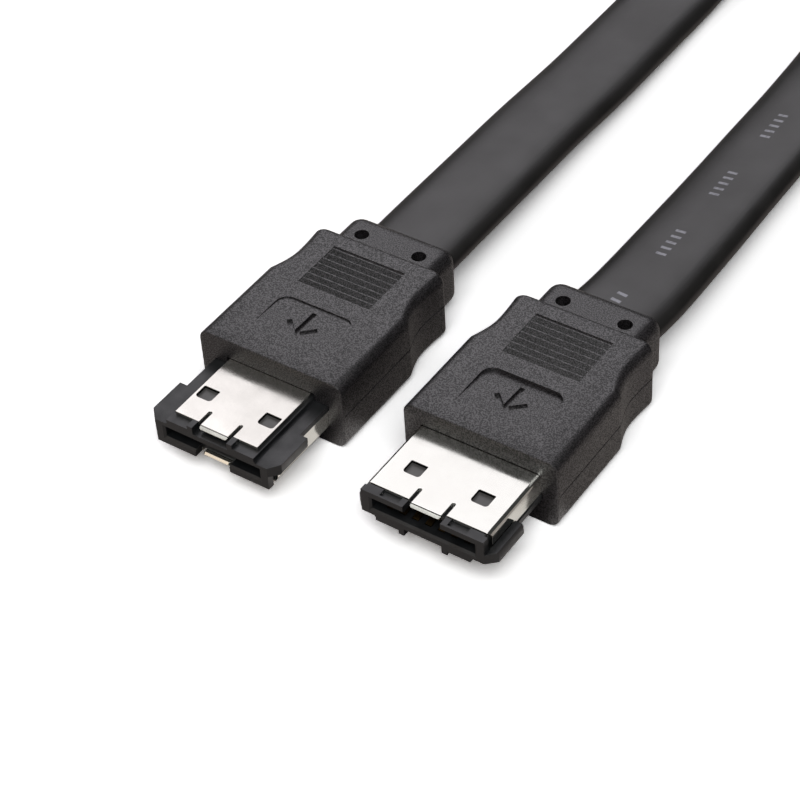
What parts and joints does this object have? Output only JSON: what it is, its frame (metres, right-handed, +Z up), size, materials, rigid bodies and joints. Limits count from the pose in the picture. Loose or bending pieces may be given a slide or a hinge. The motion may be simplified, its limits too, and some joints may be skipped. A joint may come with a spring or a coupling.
{
  "type": "esata cable",
  "caption": "Flat black serial drive cable with an overmoulded metal-shelled plug on each end, its spare length coiled.",
  "frame": {"origin": "on the surface under the middle of the two plugs", "axes": "-Y out of the plugs' noses, +X from plug a to plug b, +Z up"},
  "size_m": [0.1129, 0.186, 0.011],
  "materials": {
    "overmould_black": "fine-grained moulded plastic",
    "insulator_black": "satin moulded plastic",
    "jacket_black": "satin cable jacket",
    "nickel_plate": "bright nickel plate",
    "contact_gold": "gold-plated spring",
    "tinned_copper": "tinned wire",
    "wire_insulation": "smooth insulation",
    "inner_mould_white": "plain moulded plastic",
    "tie_black": "woven strap"
  },
  "bodies": {
    "root": {"plug_a_overmould": "overmould_black", "plug_a_shell_wide": "nickel_plate", "plug_a_shell_narrow": "nickel_plate", "plug_a_insulator": "insulator_black", "plug_a_inner_mould": "inner_mould_white", "plug_a_strain_clamp": "nickel_plate", "plug_a_contact_1": "contact_gold", "plug_a_wire_1": "tinned_copper", "plug_a_contact_2": "contact_gold", "plug_a_wire_2": "wire_insulation", "plug_a_contact_3": "contact_gold", "plug_a_wire_3": "wire_insulation", "plug_a_contact_4": "contact_gold", "plug_a_wire_4": "tinned_copper", "plug_a_contact_5": "contact_gold", "plug_a_wire_5": "wire_insulation", "plug_a_contact_6": "contact_gold", "plug_a_wire_6": "wire_insulation", "plug_a_contact_7": "contact_gold", "plug_a_wire_7": "tinned_copper", "plug_b_overmould": "overmould_black", "plug_b_shell_wide": "nickel_plate", "plug_b_shell_narrow": "nickel_plate", "plug_b_insulator": "insulator_black", "plug_b_inner_mould": "inner_mould_white", "plug_b_strain_clamp": "nickel_plate", "plug_b_contact_1": "contact_gold", "plug_b_wire_1": "tinned_copper", "plug_b_contact_2": "contact_gold", "plug_b_wire_2": "wire_insulation", "plug_b_contact_3": "contact_gold", "plug_b_wire_3": "wire_insulation", "plug_b_contact_4": "contact_gold", "plug_b_wire_4": "tinned_copper", "plug_b_contact_5": "contact_gold", "plug_b_wire_5": "wire_insulation", "plug_b_contact_6": "contact_gold", "plug_b_wire_6": "wire_insulation", "plug_b_contact_7": "contact_gold", "plug_b_wire_7": "tinned_copper", "cable_run_a": "jacket_black", "cable_run_b": "jacket_black", "cable_bight": "jacket_black", "cable_coil": "jacket_black", "coil_tie_1": "tie_black", "coil_tie_2": "tie_black"}
  },
  "joints": []
}
